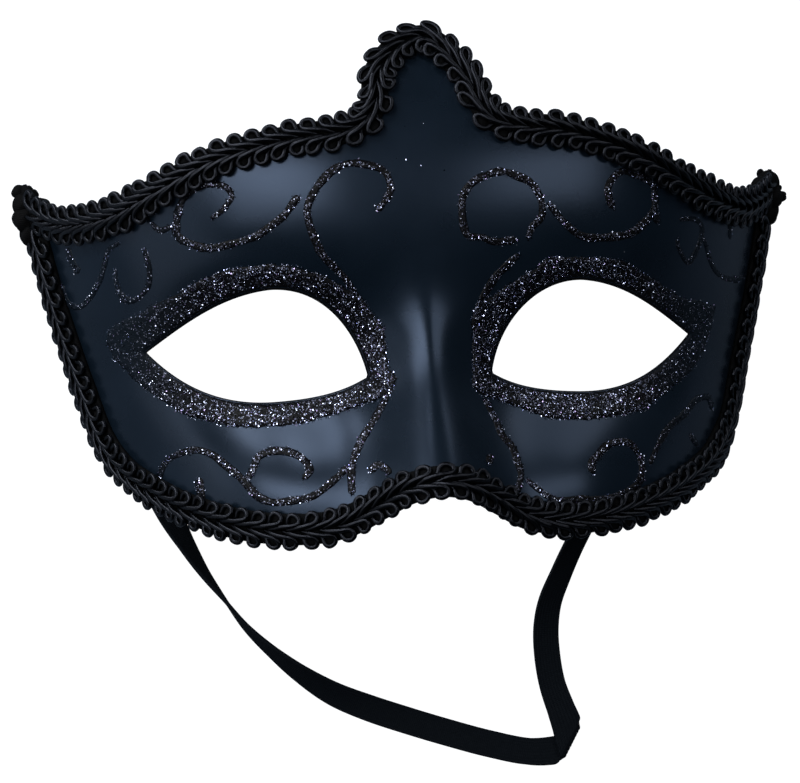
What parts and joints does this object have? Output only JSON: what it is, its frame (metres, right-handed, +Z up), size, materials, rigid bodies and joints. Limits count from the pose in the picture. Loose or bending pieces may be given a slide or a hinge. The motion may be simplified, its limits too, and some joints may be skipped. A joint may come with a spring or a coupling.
{
  "type": "masquerade half mask",
  "caption": "Half mask for a masquerade: moulded shell with a raised peak and almond eye holes, scroll braid glued round the rim, and a loose flat elastic band.",
  "frame": {"origin": "on the surface the mask lies on, under the middle of its length and width, the band left out", "axes": "+X to the wearer's left, +Y up the face to the peak, +Z up out of the face, from the inside to the outside"},
  "size_m": [0.1738, 0.1585, 0.0603],
  "materials": {
    "shell": "satin navy black, with black glitter glue drawn on it",
    "braid": "black rayon cord",
    "band": "black ribbed elastic"
  },
  "bodies": {
    "root": {"mask_shell": "shell", "top_braid": "braid", "lower_braid": "braid", "elastic_band": "band"}
  },
  "joints": []
}
